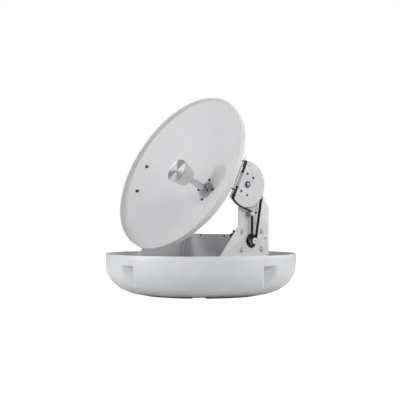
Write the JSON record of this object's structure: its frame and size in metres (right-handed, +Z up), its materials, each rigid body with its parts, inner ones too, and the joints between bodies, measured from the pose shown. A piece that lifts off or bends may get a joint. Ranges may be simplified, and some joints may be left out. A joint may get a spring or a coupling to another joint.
{
  "type": "stabilised dish antenna",
  "caption": "Stabilised marine satellite dish with sub-reflector feed on a belt-driven azimuth and elevation turntable, in the lower half of its radome.",
  "frame": {"origin": "centre of the foot ring's underside, on the azimuth axis", "axes": "+Z up along the azimuth axis, +X along the elevation axis towards the belt drive, and the dish faces -Y at rest"},
  "size_m": [0.5, 0.5, 0.5187],
  "materials": {
    "radome_gelcoat": "smooth off-white gelcoat, low sheen",
    "white_paint": "fine off-white powder coat",
    "grey_paint": "mid-grey powder coat",
    "aluminium": "machined",
    "spun_aluminium": "turned face with circular tool marks",
    "steel": "bright zinc plate",
    "black_steel": "black oxide",
    "brass": "turned",
    "belt_rubber": "toothed black rubber",
    "black_plastic": "moulded black",
    "white_plastic": "moulded off-white",
    "sector_plastic": "moulded light grey",
    "grey_plastic": "moulded grey",
    "circuit_board": "green solder mask"
  },
  "bodies": {
    "base": {"lower_radome": "radome_gelcoat", "azimuth_post": "steel", "azimuth_pulley": "aluminium", "azimuth_bearing_1": "steel", "azimuth_bearing_2": "steel", "coax_connector": "brass", "power_connector": "black_plastic"},
    "turntable": {"turntable_plate": "white_paint", "turntable_hub": "aluminium", "right_arm": "white_paint", "left_arm": "white_paint", "rear_panel": "white_paint", "control_box": "grey_paint", "control_box_lid": "grey_paint", "control_board": "circuit_board", "motor_plate": "grey_paint", "elevation_motor": "black_plastic", "motor_screw_1": "steel", "motor_screw_2": "steel", "motor_screw_3": "steel", "motor_screw_4": "steel", "idler_bracket": "white_paint", "elevation_belt_run": "belt_rubber", "azimuth_belt": "belt_rubber", "azimuth_motor": "black_plastic", "right_bearing": "brass", "left_bearing": "brass"},
    "azimuth_pinion": {"azimuth_pinion": "brass"},
    "elevation_pulley": {"elevation_pulley": "white_plastic"},
    "idler": {"idler_roller": "grey_plastic"},
    "dish": {"reflector": "white_paint", "right_bracket": "white_paint", "left_bracket": "white_paint", "belt_sector": "sector_plastic", "belt_arc": "belt_rubber", "belt_clamp_upper": "black_plastic", "belt_clamp_lower": "black_plastic", "sector_screw_1": "black_steel", "sector_screw_2": "black_steel", "sector_screw_3": "black_steel", "sector_screw_4": "black_steel", "dish_bolt_1": "black_steel", "dish_bolt_2": "black_steel", "dish_bolt_3": "black_steel", "dish_bolt_4": "black_steel", "right_pivot_shaft": "steel", "left_pivot_shaft": "steel", "pivot_ring": "black_steel", "feed_collar": "grey_paint", "skew_motor": "black_plastic", "hub_screw_1": "black_steel", "hub_screw_2": "black_steel", "hub_screw_3": "black_steel", "hub_screw_4": "black_steel"},
    "feed": {"feed_tube": "aluminium", "dielectric_cone": "white_plastic", "sub_reflector": "spun_aluminium", "lnb": "white_plastic", "skew_gear": "white_plastic"},
    "skew_pinion": {"skew_pinion": "brass"}
  },
  "joints": [
    {"name": "azimuth", "type": "hinge", "parent": "base", "child": "turntable", "pos_m": [0, 0, 0.05], "axis": [0, 0, 1], "range_deg": [-340, 340]},
    {"name": "elevation", "type": "hinge", "parent": "turntable", "child": "dish", "pos_m": [0, 0, 0.2832], "axis": [-1, 0, 0], "range_deg": [-11.1, 53.9]},
    {"name": "pulley_spin", "type": "hinge", "parent": "turntable", "child": "elevation_pulley", "pos_m": [0.16, 0.0256, 0.1425], "axis": [-1, 0, 0], "range_deg": [-1000, 1000]},
    {"name": "idler_spin", "type": "hinge", "parent": "turntable", "child": "idler", "pos_m": [0.176, 0.0122, 0.2098], "axis": [-1, 0, 0], "range_deg": [-1000, 1000]},
    {"name": "pinion_spin", "type": "hinge", "parent": "turntable", "child": "azimuth_pinion", "pos_m": [-0.086, 0.022, 0.03], "axis": [0, 0, 1], "range_deg": [-2200, 2200]},
    {"name": "skew", "type": "hinge", "parent": "dish", "child": "feed", "pos_m": [0, 0, 0.2832], "axis": [0, -0.898, 0.4399], "range_deg": [-90, 90]},
    {"name": "skew_pinion_spin", "type": "hinge", "parent": "dish", "child": "skew_pinion", "pos_m": [0, 0.04649, 0.30196], "axis": [0, -0.898, 0.4399], "range_deg": [-400, 400]}
  ],
  "couplings": [
    {"joint": "pulley_spin", "follows": "elevation", "ratio": 9.2419},
    {"joint": "idler_spin", "follows": "elevation", "ratio": -8.9692},
    {"joint": "pinion_spin", "follows": "azimuth", "ratio": -6},
    {"joint": "skew_pinion_spin", "follows": "skew", "ratio": -4.2857}
  ]
}
